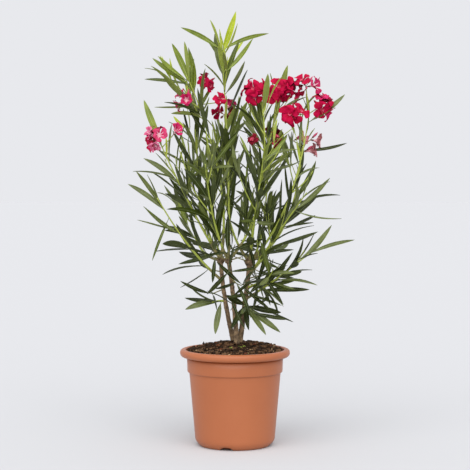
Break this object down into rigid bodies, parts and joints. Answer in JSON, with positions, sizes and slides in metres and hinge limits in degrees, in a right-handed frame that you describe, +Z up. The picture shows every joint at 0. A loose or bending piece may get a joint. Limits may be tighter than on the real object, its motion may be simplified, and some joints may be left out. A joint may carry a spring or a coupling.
{
  "type": "potted oleander shrub",
  "caption": "Flowering oleander shrub with whorled narrow leaves and red blossom heads, on pruned stems in a round tapered plastic pot filled with bark.",
  "frame": {"origin": "middle of the pot's flat underside, where the pot stands", "axes": "+Z up along the pot's axis; -Y towards the front of the plant, as pictured; +X to the right of that view"},
  "size_m": [0.49, 0.4441, 0.945],
  "materials": {
    "pot_plastic": "satin terracotta-coloured moulded plastic",
    "potting_bark": "coarse moist bark and peat",
    "bark": "grey-brown bark with leaf scars and pruned knobs",
    "green_bark": "smooth yellow-green young bark",
    "foliage": "leathery matte leaves, bright green at the tips",
    "petal": "soft crimson petals, pinker on the left"
  },
  "bodies": {
    "root": {"pot": "pot_plastic", "soil": "potting_bark", "stem_left": "bark", "stem_centre": "bark", "stem_right": "bark", "bough_left_low": "green_bark", "foliage_left_low": "foliage", "bough_left_flower": "green_bark", "foliage_left_flower": "foliage", "bough_left_tall": "green_bark", "foliage_left_tall": "foliage", "bough_left_cluster": "green_bark", "foliage_left_cluster": "foliage", "bough_back_left": "green_bark", "foliage_back_left": "foliage", "bough_left_behind": "green_bark", "foliage_left_behind": "foliage", "bough_leader": "green_bark", "foliage_leader": "foliage", "bough_centre_flower": "green_bark", "foliage_centre_flower": "foliage", "bough_front_left": "green_bark", "foliage_front_left": "foliage", "bough_right_front": "green_bark", "foliage_right_front": "foliage", "bough_right_centre": "green_bark", "foliage_right_centre": "foliage", "bough_right_head": "green_bark", "foliage_right_head": "foliage", "bough_right_faded": "green_bark", "foliage_right_faded": "foliage", "bough_back_right": "green_bark", "foliage_back_right": "foliage", "bough_back_centre": "green_bark", "foliage_back_centre": "foliage", "bough_right_mid": "green_bark", "foliage_right_mid": "foliage", "bough_right_behind": "green_bark", "foliage_right_behind": "foliage", "foliage_right_spur": "foliage", "bough_right_low": "green_bark", "foliage_right_low": "foliage", "foliage_low_whorl": "foliage", "foliage_left_hanging": "foliage"}
  },
  "joints": []
}
